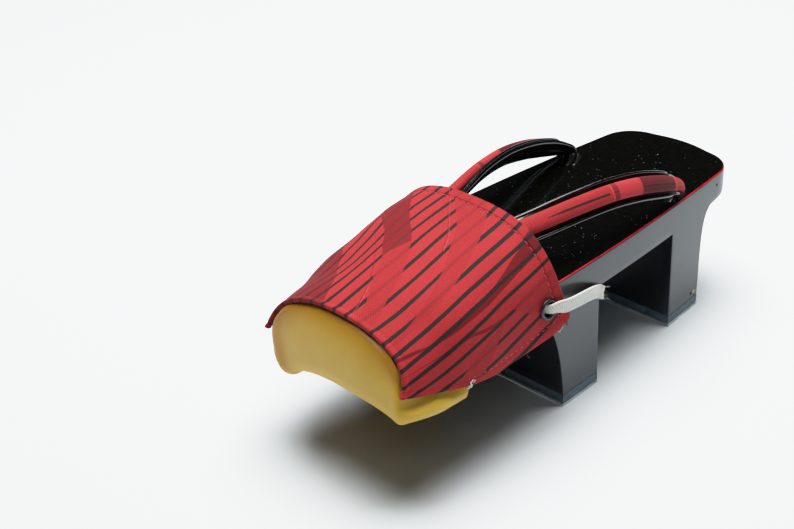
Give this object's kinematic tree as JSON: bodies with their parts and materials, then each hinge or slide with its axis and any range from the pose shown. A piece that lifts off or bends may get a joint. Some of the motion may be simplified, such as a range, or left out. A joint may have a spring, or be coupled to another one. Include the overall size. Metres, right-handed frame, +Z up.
{
  "type": "geta sandal",
  "caption": "Lacquered two-tooth geta sandal with padded cloth straps and a cloth rain cover closed at the toe by a rubber cap.",
  "frame": {"origin": "on the ground under the middle of the whole sandal, toe rubber included", "axes": "+Z up, toe towards -Y, heel towards +Y"},
  "size_m": [0.0966, 0.2442, 0.0916],
  "materials": {
    "lacquered_wood": "gloss black lacquer",
    "sole_rubber": "matt blue-grey",
    "red_cloth": "woven, striped",
    "black_enamel": "gloss black coated",
    "yellow_latex": "smooth satin",
    "dark_steel": "darkened",
    "white_elastic": "flat woven elastic"
  },
  "bodies": {
    "root": {"platform": "lacquered_wood", "front_tread": "sole_rubber", "rear_tread": "sole_rubber", "strap_tops": "red_cloth", "strap_linings": "black_enamel", "front_thong": "red_cloth", "toe_cover": "red_cloth", "toe_rubber": "yellow_latex", "eyelet_right": "dark_steel", "eyelet_left": "dark_steel", "tie_band": "white_elastic"}
  },
  "joints": []
}
